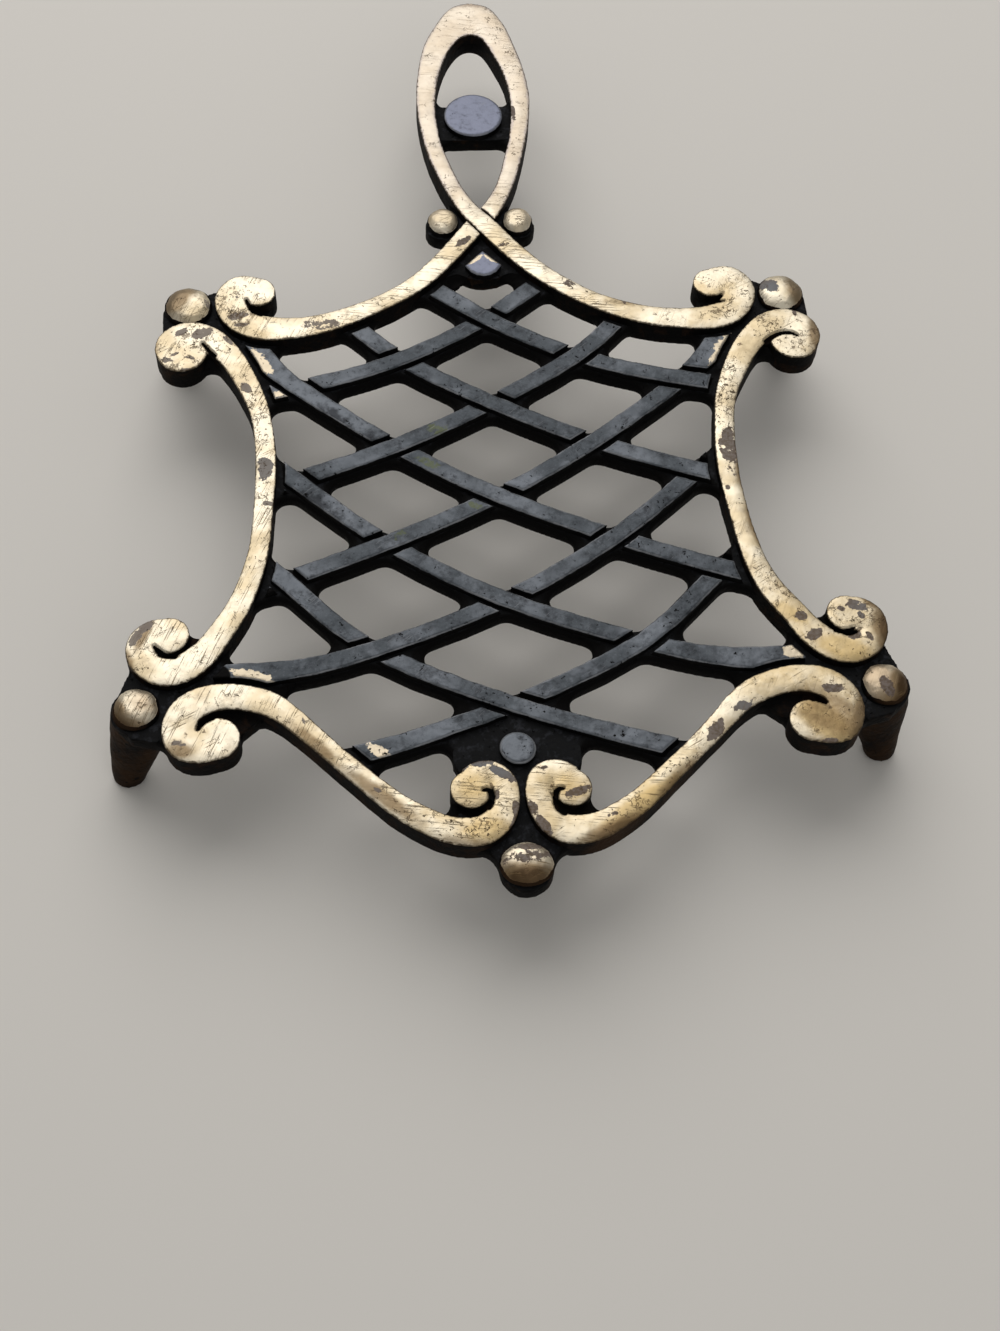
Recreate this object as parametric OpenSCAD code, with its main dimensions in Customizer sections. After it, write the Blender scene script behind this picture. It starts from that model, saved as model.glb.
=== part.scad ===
// Footed trivet: scrolled strapwork rims round a woven lattice, with domed pearls,
// a crossed hanging loop and four splayed feet. It lies flat, the loop towards +Y,
// with the origin on the table under the middle of its outline.

/* [Overall] */
// Height from the tips of the feet to the tops of the rims
overall_h = 25; // [22:1:30]
// Distance between the two lower corner pearls, centre to centre
pearl_span = 150; // [142:1:158]
// Length from the bottom pearl's centre to the crossing of the rims
body_l = 163; // [155:1:171]
// Length from the crossing of the rims to the outer top of the loop
loop_l = 73.5; // [68:0.5:80]
// Width of the loop across its outer edges
loop_w = 28; // [26:0.5:30]

/* [Rims and scrolls] */
// Depth of the rims from their tops to the underside
rim_t = 6.5; // [5.5:0.5:8]
// Width of a rim halfway between its scrolls
rim_w = 5; // [4.6:0.1:5.4]
// Size that the scrolls are drawn to, about the radius of their heads
scroll_r = 5; // [4.7:0.1:5.3]
// How far the webs between the rims lie below the rims' tops
web_drop = 2.5; // [1.5:0.5:3]

/* [Lattice] */
// Width of a lattice strap
strap_w = 4.2; // [3.6:0.1:4.8]
// How far the lattice straps lie below the rims' tops
strap_drop = 0.8; // [0.4:0.1:1.2]
// Gap between the top of a strap and the rim that it runs into
strap_end_gap = 1.6; // [1:0.1:2]
// Gap between the top of a strap and the strap that passes over it
strap_lap_step = 0.9; // [0.5:0.1:1.3]

/* [Pearls and bosses] */
// Radius of the pearls between the corner scrolls
corner_pearl_r = 4.9; // [4.5:0.1:5.2]
// Radius of the pearl at the bottom point
bottom_pearl_r = 4.8; // [4.4:0.1:5]
// Radius of the two pearls beside the crossing
neck_pearl_r = 3.6; // [3.2:0.1:3.8]
// How far a pearl's dome falls from its middle to its edge
pearl_dome_h = 1.6; // [1:0.1:2]
// Edge of web left showing round a pearl
pearl_edge = 0.6; // [0.4:0.1:0.8]
// Radius of the flat disc between the two middle scrolls
disc_r = 3.7; // [3.3:0.1:4]
// Radius of the flat knob inside the loop
knob_r = 7.2; // [6.4:0.1:7.6]
// Width of the bar that carries the knob
bar_w = 12; // [9:0.5:14]

/* [Feet] */
// Radius of a foot where it leaves the casting
foot_top_r = 4.6; // [4:0.1:4.8]
// Radius of a foot at its tip
foot_tip_r = 2.9; // [2.4:0.1:3.4]
// How far a foot's tip stands out sideways from its pearl
foot_out = 5; // [3:0.5:6]
// How far a foot's tip stands out lengthways from its pearl
foot_along = 2.5; // [1:0.5:4]

/* [Hidden] */
$fn = 64;

// Clearance between members that stand side to side
fit_gap = 0.05;
// Clearance inside the half laps, where two straps cross
lap_gap = 0.1;
// How far a cut runs past the face that it leaves through
overrun = 1;
// Steps of a curve between two of its points
curve_steps = 3;

half_span = pearl_span / 2;
half_loop = loop_w / 2;
z_under = overall_h - rim_t;
web_t = rim_t - web_drop;
strap_t = rim_t - strap_drop;
y_top = body_l + loop_l;
y_bottom = -bottom_pearl_r - pearl_edge;
y_mid = (y_top + y_bottom) / 2;

// Pearls: place as shares of half_span and body_l
top_pearl_share = [0.896, 0.855];
bottom_pearl_share = [1, 0.226];
centre_pearl_share = [0, 0];
neck_pearl_share = [0.116, 1];

// Scroll heads: place from the pearl beside them, then the radius, as shares of scroll_r
top_head_shares = [-3.12, 0.59, 0.82];
side_upper_head_shares = [0.17, -2.74, 1.08];
side_lower_head_shares = [-1.14, 3.26, 0.87];
bottom_outer_head_shares = [-3.23, -1.70, 0.94];
bottom_inner_head_shares = [1.97, 3.03, 0.80];

// Curls round the heads, from the rim inwards: place from the head's centre as shares
// of scroll_r, then the width as a share of rim_w
top_curl_shares = [[-0.22, -2.06, 1.38], [0.72, -1.62, 1.44], [1.20, -0.86, 1.40],
    [1.24, -0.14, 1.28], [0.80, 0.40, 1.16], [0.26, 0.46, 0.92], [-0.10, 0.34, 0.84]];
side_upper_curl_shares = [[-1.70, 0.20, 1.20], [-1.10, 0.76, 1.28], [-0.32, 0.98, 1.36],
    [0.40, 0.72, 1.32], [0.64, 0.20, 1.16], [0.48, -0.24, 1.00]];
side_lower_curl_shares = [[-2.00, -0.12, 1.14], [-1.56, -0.84, 1.26], [-0.86, -1.50, 1.38],
    [-0.10, -1.76, 1.34], [0.62, -1.46, 1.24], [1.04, -0.80, 1.10], [0.98, -0.12, 1.04],
    [0.58, 0.30, 0.94], [0.20, 0.42, 0.84]];
bottom_outer_curl_shares = [[-2.18, 1.40, 1.16], [-1.32, 1.76, 1.22], [-0.38, 1.92, 1.24],
    [0.52, 1.80, 1.36], [1.22, 1.32, 1.40], [1.48, 0.52, 1.40], [1.22, -0.28, 1.24],
    [0.66, -0.60, 0.92], [0.10, -0.54, 0.84]];
bottom_inner_curl_shares = [[1.04, -1.58, 1.14], [0.24, -1.76, 1.22], [-0.50, -1.66, 1.24],
    [-1.08, -1.14, 1.16], [-1.36, -0.38, 1.04], [-1.28, 0.34, 1.00], [-0.86, 0.74, 0.92],
    [-0.34, 0.78, 0.80], [0.12, 0.54, 0.72]];

// Rims between the curls: shares of half_span, body_l and rim_w
top_rim_shares = [[0.040, 0.975, 1.02], [0.080, 0.949, 1.00], [0.131, 0.920, 0.98],
    [0.193, 0.891, 0.94], [0.267, 0.866, 0.92], [0.340, 0.847, 0.92], [0.413, 0.831, 1.00],
    [0.500, 0.817, 1.10], [0.587, 0.810, 1.20]];
side_rim_shares = [[0.760, 0.755, 1.14], [0.732, 0.730, 1.06], [0.707, 0.702, 1.00],
    [0.688, 0.675, 0.94], [0.676, 0.644, 0.90], [0.668, 0.607, 0.92], [0.665, 0.564, 0.94],
    [0.668, 0.525, 0.90], [0.677, 0.479, 0.88], [0.690, 0.436, 0.92], [0.709, 0.399, 0.98],
    [0.739, 0.362, 1.06]];
bottom_rim_shares = [[0.593, 0.201, 1.04], [0.547, 0.180, 0.96], [0.507, 0.162, 0.92],
    [0.467, 0.144, 0.90], [0.413, 0.120, 0.92], [0.360, 0.096, 0.96], [0.307, 0.074, 1.02],
    [0.253, 0.057, 1.08]];

// One side of the loop from its top down, as shares of half_loop and loop_l: its outer
// edge, its inner edge, and below them its middle line, with widths as shares of rim_w
loop_outer_shares = [[0, 1], [0.307, 0.982], [0.514, 0.931], [0.729, 0.837],
    [0.907, 0.718], [1, 0.571], [0.971, 0.449], [0.871, 0.333]];
loop_inner_shares = [[0, 0.844], [0.186, 0.826], [0.393, 0.755], [0.586, 0.639],
    [0.657, 0.497], [0.586, 0.347]];
loop_leg_shares = [[0.650, 0.279, 0.86], [0.493, 0.177, 0.84], [0.329, 0.099, 0.86],
    [0.150, 0.037, 0.96], [0, 0, 1.02]];

// The lattice straps that run down to the right, from the upper left end: shares of
// half_span, body_l and strap_w. Those that run down to the left are their mirror images.
strap_shares = [
    [[-0.192, 0.894, 1.10], [-0.093, 0.857, 1.05], [0, 0.825, 1], [0.127, 0.789, 1],
        [0.263, 0.757, 1], [0.413, 0.731, 1], [0.571, 0.712, 1], [0.690, 0.701, 1.05]],
    [[-0.420, 0.828, 1.10], [-0.263, 0.757, 1.05], [0, 0.679, 1], [0.289, 0.610, 1],
        [0.581, 0.559, 1.05], [0.667, 0.548, 1.10]],
    [[-0.733, 0.805, 1.70], [-0.677, 0.764, 1.45], [-0.571, 0.712, 1.10],
        [-0.289, 0.610, 1], [0, 0.526, 1], [0.321, 0.456, 1], [0.611, 0.404, 1.05],
        [0.704, 0.391, 1.10]],
    [[-0.664, 0.593, 1.10], [-0.581, 0.559, 1.05], [-0.321, 0.456, 1], [0, 0.365, 1],
        [0.368, 0.297, 1], [0.600, 0.270, 1.20], [0.800, 0.265, 1.55]],
    [[-0.693, 0.439, 1.10], [-0.611, 0.404, 1.05], [-0.368, 0.297, 1], [0, 0.212, 1],
        [0.227, 0.174, 1.05], [0.387, 0.154, 1.10], [0.450, 0.147, 1.10]]];
// Rims that each of them runs into at its upper and at its lower end
strap_upper_rims = [["top"], ["top"], ["top", "side"], ["side"], ["side"]];
strap_lower_rims = [["side"], ["side"], ["side"], ["side", "bottom"], ["bottom"]];
// Straps cross those of the other slant up to this many places along
strap_reach = 2;

// Outlines of the corner webs: place from their pearl as shares of scroll_r
corner_top_web_shares = [[1.14, -2.28], [1.18, -0.07], [-0.24, 0.52], [-1.19, 1.04], [-1.85, 0.52],
    [-2.04, -0.88], [-2.64, -1.83], [-2.94, -2.28], [-2.15, -2.90], [-1.44, -2.28],
    [-0.24, -2.09]];
corner_bottom_web_shares = [[0.30, 2.02], [0.90, 0.46], [0.90, -0.46], [0.19, -1.27], [-0.90, -1.53],
    [-1.61, -0.88], [-2.81, 0.07], [-3.80, 0.33], [-3.70, 1.21], [-2.81, 1.76],
    [-1.39, 1.50], [-0.41, 1.79]];
// The lower part of the centre web: place from the bottom pearl as shares of scroll_r
centre_web_foot_shares = [[2.58, 4.37], [2.20, 3.59], [0.80, 2.80], [0.80, 1.60], [1.70, 1.20],
    [1.00, -0.10]];
// Outlines of the other webs: shares of half_span and body_l
centre_web_head_shares = [[0, 0.212], [0.168, 0.183]];
neck_web_shares = [[0, 0.978], [0.153, 0.920], [0.128, 0.903], [0.080, 0.909],
    [0.040, 0.899], [0, 0.895]];
neck_pad_shares = [[0.020, 1.010], [0.090, 1.028], [0.116, 1.022], [0.116, 0.975],
    [0.075, 0.960], [0.020, 0.990]];
// The lens-shaped boss under the crossing: shares of half_span and body_l
seed_shares = [[0, 0.945], [0.030, 0.930], [0.057, 0.917], [0.040, 0.905],
    [0.021, 0.899], [0, 0.897]];
// The disc: place as a share of body_l
disc_y_share = 0.149;
// Knob and bar: place along the loop as a share of loop_l
knob_y_share = 0.468;
bar_y_share = 0.454;

function to_plan(p) = [p[0] * half_span, p[1] * body_l];
function loop_points(shares) = [for (p = shares)
    [-p[0] * half_loop, body_l + p[1] * loop_l, len(p) == 3 ? p[2] * rim_w : 0]];
function rim_points(shares) = [for (p = shares) concat(to_plan(p), p[2] * rim_w)];
function from_pearl(pearl, p) = to_plan(pearl) + [p[0], p[1]] * scroll_r;
function curl_points(pearl, head, shares) = [for (p = shares)
    concat(from_pearl(pearl, head) + [p[0], p[1]] * scroll_r, p[2] * rim_w)];
function backwards(a) = [for (i = [len(a) - 1:-1:0]) a[i]];
function mirrored(a) = [for (p = backwards(a)) [-p[0], p[1]]];

// A smooth curve through all the points, each with its place and its width
function curve_at(a, b, c, d, t) = 0.5 * (2 * b + (c - a) * t
    + (2 * a - 5 * b + 4 * c - d) * t * t + (3 * b - a - 3 * c + d) * t * t * t);
function curve(p) = concat([for (i = [0:len(p) - 2], k = [0:curve_steps - 1])
    curve_at(p[max(i - 1, 0)], p[i], p[i + 1], p[min(i + 2, len(p) - 1)], k / curve_steps)],
    [p[len(p) - 1]]);

// The edge of a band at one side (+1 or -1) of its middle line
function band_edge(c, side, grow) = [for (i = [0:len(c) - 1])
    let (a = c[max(i - 1, 0)], b = c[min(i + 1, len(c) - 1)],
        run = norm([b[0] - a[0], b[1] - a[1]]), out = side * (c[i][2] / 2 + grow) / run)
    [c[i][0] - (b[1] - a[1]) * out, c[i][1] + (b[0] - a[0]) * out]];

module band(points, grow) {
    c = curve(points);
    polygon(concat(band_edge(c, 1, grow), backwards(band_edge(c, -1, grow))));
}

module head(pearl, share, grow) {
    translate(from_pearl(pearl, share)) circle(share[2] * scroll_r + grow);
}

// Plan outlines, all for the right-hand side unless they say otherwise. The strap of
// the top rim starts at the top of the loop and comes down its left side.
top_curl = curl_points(top_pearl_share, top_head_shares, top_curl_shares);
side_upper_curl = curl_points(top_pearl_share, side_upper_head_shares,
    side_upper_curl_shares);
side_lower_curl = curl_points(bottom_pearl_share, side_lower_head_shares,
    side_lower_curl_shares);
bottom_outer_curl = curl_points(bottom_pearl_share, bottom_outer_head_shares,
    bottom_outer_curl_shares);
bottom_inner_curl = curl_points(centre_pearl_share, bottom_inner_head_shares,
    bottom_inner_curl_shares);
shoulder_path = concat(rim_points(top_rim_shares), top_curl);
side_rim_path = concat(backwards(side_upper_curl), rim_points(side_rim_shares),
    side_lower_curl);
bottom_rim_path = concat(backwards(bottom_outer_curl), rim_points(bottom_rim_shares),
    bottom_inner_curl);

module top_rim_outline(grow = 0) {
    outer = curve(loop_points(loop_outer_shares));
    inner = curve(loop_points(loop_inner_shares));
    below = curve(concat(loop_points(loop_leg_shares), shoulder_path));
    polygon(concat(band_edge(outer, -1, grow), band_edge(below, -1, grow),
        backwards(band_edge(below, 1, grow)), backwards(band_edge(inner, 1, grow))));
    head(top_pearl_share, top_head_shares, grow);
}

module shoulder_outline(grow) {
    band(shoulder_path, grow);
    head(top_pearl_share, top_head_shares, grow);
}

module side_rim_outline(grow = 0) {
    band(side_rim_path, grow);
    head(top_pearl_share, side_upper_head_shares, grow);
    head(bottom_pearl_share, side_lower_head_shares, grow);
}

module bottom_rim_outline(grow = 0) {
    band(bottom_rim_path, grow);
    head(bottom_pearl_share, bottom_outer_head_shares, grow);
    head(centre_pearl_share, bottom_inner_head_shares, grow);
}

module handed(side) {
    mirror([side < 0 ? 1 : 0, 0]) children();
}

// The sunk floor of a scroll, which fills the groove between its head and its curl
module scroll_floor(points) {
    c = curve(points);
    polygon([for (p = c) [p[0], p[1]]]);
}

module side_rim_floors() {
    scroll_floor(side_upper_curl);
    scroll_floor(side_lower_curl);
}

module bottom_rim_floors() {
    scroll_floor(bottom_outer_curl);
    scroll_floor(bottom_inner_curl);
}

// The stretches of the rims that straps run into, without the insides of the scrolls
function part_of(a, last) = [for (i = [0:last]) a[i]];
top_run = concat(rim_points(top_rim_shares), part_of(top_curl, 2));
side_run = concat(backwards(part_of(side_upper_curl, 2)), rim_points(side_rim_shares),
    part_of(side_lower_curl, 3));
bottom_run = concat(backwards(part_of(bottom_outer_curl, 4)), rim_points(bottom_rim_shares));

module rim_runs(names, side, grow) {
    handed(side) for (name = names)
        band(name == "top" ? top_run : name == "side" ? side_run : bottom_run, grow);
}

module strap_outline(i, slant, grow = 0) {
    handed(slant) band([for (p = strap_shares[i]) concat(to_plan(p), p[2] * strap_w)], grow);
}

// A slab of the casting between two heights above its underside
module slab(from, to) {
    translate([0, -y_mid, z_under + from]) linear_extrude(to - from) children();
}

// Rims
module top_rim(side) {
    over = side > 0;
    lap_z = rim_t / 2;
    lap_size = loop_w / 2;
    color("goldenrod") difference() {
        union() {
            slab(0, rim_t) handed(side) top_rim_outline();
            slab(0, web_t) handed(side) scroll_floor(top_curl);
        }
        slab(over ? -overrun : lap_z, over ? lap_z + lap_gap : rim_t + overrun)
            intersection() {
                handed(-side) top_rim_outline(lap_gap);
                translate([0, body_l]) square(lap_size, center = true);
            }
    }
}

module side_rim(side) {
    color("goldenrod") {
        slab(0, rim_t) handed(side) side_rim_outline();
        slab(0, web_t) handed(side) side_rim_floors();
    }
}

module bottom_rim(side) {
    color("goldenrod") {
        slab(0, rim_t) handed(side) bottom_rim_outline();
        slab(0, web_t) handed(side) bottom_rim_floors();
    }
}

// One lattice strap. slant is +1 where it runs down to the right, -1 down to the left.
// A strap that lies on top at a crossing gives up its lower half there, and the other
// its upper half, and over and under change places from one crossing to the next.
module strap(i, slant) {
    lap_z = strap_t / 2;
    color("dimgray") difference() {
        slab(0, strap_t) strap_outline(i, slant);
        slab(-overrun, rim_t + overrun) {
            rim_runs(strap_upper_rims[i], -slant, fit_gap);
            rim_runs(strap_lower_rims[i], slant, fit_gap);
        }
        slab(web_t, rim_t + overrun) {
            rim_runs(strap_upper_rims[i], -slant, strap_end_gap);
            rim_runs(strap_lower_rims[i], slant, strap_end_gap);
        }
        for (j = [max(0, i - strap_reach):min(len(strap_shares) - 1, i + strap_reach)]) {
            on_top = (i + j) % 2 == (slant > 0 ? 0 : 1);
            slab(on_top ? -overrun : lap_z, on_top ? lap_z + lap_gap : rim_t)
                strap_outline(j, -slant, lap_gap);
            if (!on_top) slab(web_t, rim_t) strap_outline(j, -slant, strap_lap_step);
        }
    }
}

// Webs
module even_polygon(half) {
    polygon(concat(half, mirrored(half)));
}

module pearl_pad(share, r) {
    slab(0, web_t) translate(to_plan(share)) circle(r + pearl_edge);
}

module web_cut() {
    slab(-overrun, web_t + overrun) children();
}

module both_top_rims() {
    for (side = [-1, 1]) handed(side) top_rim_outline(fit_gap);
}

module corner_web_top(side) {
    color("#2b2723") handed(side) difference() {
        union() {
            slab(0, web_t)
                polygon([for (p = corner_top_web_shares) from_pearl(top_pearl_share, p)]);
            pearl_pad(top_pearl_share, corner_pearl_r);
        }
        web_cut() {
            shoulder_outline(fit_gap);
            side_rim_outline(fit_gap);
            scroll_floor(top_curl);
            side_rim_floors();
            strap_outline(2, -1, fit_gap);
        }
    }
}

module corner_web_bottom(side) {
    color("#2b2723") handed(side) difference() {
        union() {
            slab(0, web_t)
                polygon([for (p = corner_bottom_web_shares) from_pearl(bottom_pearl_share, p)]);
            pearl_pad(bottom_pearl_share, corner_pearl_r);
        }
        web_cut() {
            side_rim_outline(fit_gap);
            bottom_rim_outline(fit_gap);
            side_rim_floors();
            bottom_rim_floors();
            strap_outline(3, 1, fit_gap);
        }
    }
}

module neck_web() {
    color("#2b2723") difference() {
        slab(0, web_t) even_polygon([for (p = neck_web_shares) to_plan(p)]);
        web_cut() both_top_rims();
    }
}

module neck_pad(side) {
    color("#2b2723") handed(side) difference() {
        union() {
            slab(0, web_t) polygon([for (p = neck_pad_shares) to_plan(p)]);
            pearl_pad(neck_pearl_share, neck_pearl_r);
        }
        web_cut() both_top_rims();
    }
}

module centre_web() {
    color("#2b2723") difference() {
        union() {
            slab(0, web_t) even_polygon(concat(
                [for (p = centre_web_head_shares) to_plan(p)],
                [for (p = centre_web_foot_shares) from_pearl(centre_pearl_share, p)]));
            pearl_pad(centre_pearl_share, bottom_pearl_r);
        }
        web_cut() for (side = [-1, 1]) {
            handed(side) bottom_rim_outline(fit_gap);
            handed(side) bottom_rim_floors();
            strap_outline(len(strap_shares) - 1, side, fit_gap);
        }
    }
}

module loop_bar() {
    color("#2b2723") difference() {
        slab(0, web_t) translate([0, body_l + bar_y_share * loop_l])
            square([loop_w - rim_w, bar_w], center = true);
        web_cut() both_top_rims();
    }
}

// Pearls and bosses
module pearl(share, r, side) {
    dome_r = (r * r + pearl_dome_h * pearl_dome_h) / (2 * pearl_dome_h);
    place = to_plan(share);
    color("darkgoldenrod") translate([side * place[0], place[1] - y_mid, z_under])
        intersection() {
            translate([0, 0, web_t]) cylinder(r = r, h = web_drop);
            translate([0, 0, rim_t - dome_r]) sphere(dome_r);
        }
}

module neck_seed() {
    color("slategray") slab(web_t, strap_t)
        even_polygon([for (p = seed_shares) to_plan(p)]);
}

module centre_disc() {
    color("slategray") slab(web_t, strap_t)
        translate([0, disc_y_share * body_l]) circle(disc_r);
}

module loop_knob() {
    color("slategray") slab(web_t, strap_t)
        translate([0, body_l + knob_y_share * loop_l]) circle(knob_r);
}

// Feet. Each is a slanting cone cut level at the casting's underside and at the table,
// and leans outwards from its pearl. along is +1 for the two near the loop and -1 for
// the two near the bottom point.
module foot(share, side, along) {
    place = to_plan(share);
    translate([side * place[0], place[1] - y_mid])
        mirror([side < 0 ? 1 : 0, 0, 0]) mirror([0, along < 0 ? 1 : 0, 0]) leaning_foot();
}

module leaning_foot() {
    lean = [foot_out, foot_along, -z_under];
    length = norm(lean);
    spare = foot_top_r;
    slope = (foot_top_r - foot_tip_r) / length;
    reach = 2 * (foot_top_r + foot_out + foot_along);
    color("#3a2a1a") intersection() {
        translate([0, 0, z_under]) rotate([0, acos(lean[2] / length), atan2(lean[1], lean[0])])
            translate([0, 0, -spare]) rotate(90)
                cylinder(r1 = foot_top_r + slope * spare, r2 = foot_tip_r - slope * spare,
                    h = length + 2 * spare);
        translate([0, 0, z_under / 2]) cube([2 * reach, 2 * reach, z_under], center = true);
    }
}

top_rim(1);  // top_rim_over
top_rim(-1);  // top_rim_under
side_rim(-1);  // side_rim_left
side_rim(1);  // side_rim_right
bottom_rim(-1);  // bottom_rim_left
bottom_rim(1);  // bottom_rim_right
strap(0, 1);  // strap_down_1
strap(1, 1);  // strap_down_2
strap(2, 1);  // strap_down_3
strap(3, 1);  // strap_down_4
strap(4, 1);  // strap_down_5
strap(0, -1);  // strap_up_1
strap(1, -1);  // strap_up_2
strap(2, -1);  // strap_up_3
strap(3, -1);  // strap_up_4
strap(4, -1);  // strap_up_5
corner_web_top(-1);  // corner_web_top_left
corner_web_top(1);  // corner_web_top_right
corner_web_bottom(-1);  // corner_web_bottom_left
corner_web_bottom(1);  // corner_web_bottom_right
neck_web();
neck_pad(-1);  // neck_pad_left
neck_pad(1);  // neck_pad_right
centre_web();
loop_bar();
pearl(top_pearl_share, corner_pearl_r, -1);  // pearl_top_left
pearl(top_pearl_share, corner_pearl_r, 1);  // pearl_top_right
pearl(bottom_pearl_share, corner_pearl_r, -1);  // pearl_bottom_left
pearl(bottom_pearl_share, corner_pearl_r, 1);  // pearl_bottom_right
pearl(centre_pearl_share, bottom_pearl_r, 1);  // pearl_bottom_centre
pearl(neck_pearl_share, neck_pearl_r, -1);  // pearl_neck_left
pearl(neck_pearl_share, neck_pearl_r, 1);  // pearl_neck_right
neck_seed();
centre_disc();
loop_knob();
foot(top_pearl_share, -1, 1);  // foot_top_left
foot(top_pearl_share, 1, 1);  // foot_top_right
foot(bottom_pearl_share, -1, -1);  // foot_bottom_left
foot(bottom_pearl_share, 1, -1);  // foot_bottom_right
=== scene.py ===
import math

import bpy
import numpy as np
from mathutils import Matrix, Vector, kdtree


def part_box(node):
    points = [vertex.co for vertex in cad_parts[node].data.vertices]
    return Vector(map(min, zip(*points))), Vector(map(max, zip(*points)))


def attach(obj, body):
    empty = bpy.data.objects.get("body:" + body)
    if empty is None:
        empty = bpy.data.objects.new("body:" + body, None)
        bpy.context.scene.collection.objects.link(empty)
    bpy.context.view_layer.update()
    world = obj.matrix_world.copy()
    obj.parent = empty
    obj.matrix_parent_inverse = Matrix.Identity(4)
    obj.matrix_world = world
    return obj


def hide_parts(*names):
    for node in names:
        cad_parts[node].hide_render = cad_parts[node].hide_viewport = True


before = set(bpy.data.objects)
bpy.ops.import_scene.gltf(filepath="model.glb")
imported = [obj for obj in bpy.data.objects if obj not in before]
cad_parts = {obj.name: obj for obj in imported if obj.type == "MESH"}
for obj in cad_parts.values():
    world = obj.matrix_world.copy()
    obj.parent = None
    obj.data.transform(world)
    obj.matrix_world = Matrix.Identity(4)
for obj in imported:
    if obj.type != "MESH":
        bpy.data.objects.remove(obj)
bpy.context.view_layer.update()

# ---------------------------------------------------------------------------
# Rims. Six scrolled straps of sand-cast brass make the border. The casting was
# painted black all over, then rubbed bright on its highest faces, which are
# softly crowned and carry pits, scratches and patches of old grey patina.
# ---------------------------------------------------------------------------
mm = 0.001
rim_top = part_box("side_rim_left")[1][2]
ground_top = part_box("corner_web_top_left")[1][2]
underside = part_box("side_rim_left")[0][2]
loop_join_y, loop_overlap = 100 * mm, 0.8 * mm
rim_skin, rim_crown, rim_crown_reach = 0.28 * mm, 0.26 * mm, 2.6 * mm
rims = {"top_rim_over": "rim_top_over", "top_rim_under": "rim_top_under",
        "side_rim_left": "rim_side_left", "side_rim_right": "rim_side_right",
        "bottom_rim_left": "rim_bottom_left", "bottom_rim_right": "rim_bottom_right"}


def member(node, name):
    """A piece that starts as a merged copy of one member of the casting."""
    piece = bpy.data.objects.new(name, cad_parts[node].data.copy())
    piece.data.name = name
    piece.data.materials.clear()
    bpy.context.scene.collection.objects.link(piece)
    bpy.ops.object.select_all(action="DESELECT")
    piece.select_set(True)
    bpy.context.view_layer.objects.active = piece
    bpy.ops.object.mode_set(mode="EDIT")
    bpy.ops.mesh.select_all(action="SELECT")
    bpy.ops.mesh.remove_doubles(threshold=0.001 * mm)
    bpy.ops.mesh.select_all(action="DESELECT")
    bpy.ops.mesh.select_mode(type="VERT")
    bpy.ops.object.mode_set(mode="OBJECT")
    return piece


def finish_with(piece, kind, **settings):
    """Adds one modifier with these settings and applies it."""
    bpy.ops.object.select_all(action="DESELECT")
    piece.select_set(True)
    bpy.context.view_layer.objects.active = piece
    modifier = piece.modifiers.new(kind.lower(), kind)
    for key, value in settings.items():
        setattr(modifier, key, value)
    bpy.ops.object.modifier_apply(modifier=modifier.name)


def skinned(piece, skin, rounding=3):
    """Gives the piece a fine even skin with the rounded edges of a casting."""
    finish_with(piece, "REMESH", mode="VOXEL", voxel_size=skin, use_smooth_shade=True)
    finish_with(piece, "SMOOTH", factor=0.5, iterations=rounding)


def uneven(piece, lump, depth):
    """Presses the skin in a little, unevenly, as sand does to cast metal."""
    sand = bpy.data.textures.new(piece.name + "_sand", "CLOUDS")
    sand.noise_scale, sand.noise_depth = lump, 2
    finish_with(piece, "DISPLACE", texture=sand, strength=depth, mid_level=1,
                texture_coords="LOCAL")


def vertex_places(mesh):
    places = np.empty(len(mesh.vertices) * 3, np.float32)
    mesh.vertices.foreach_get("co", places)
    return places.reshape(-1, 3)


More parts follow.
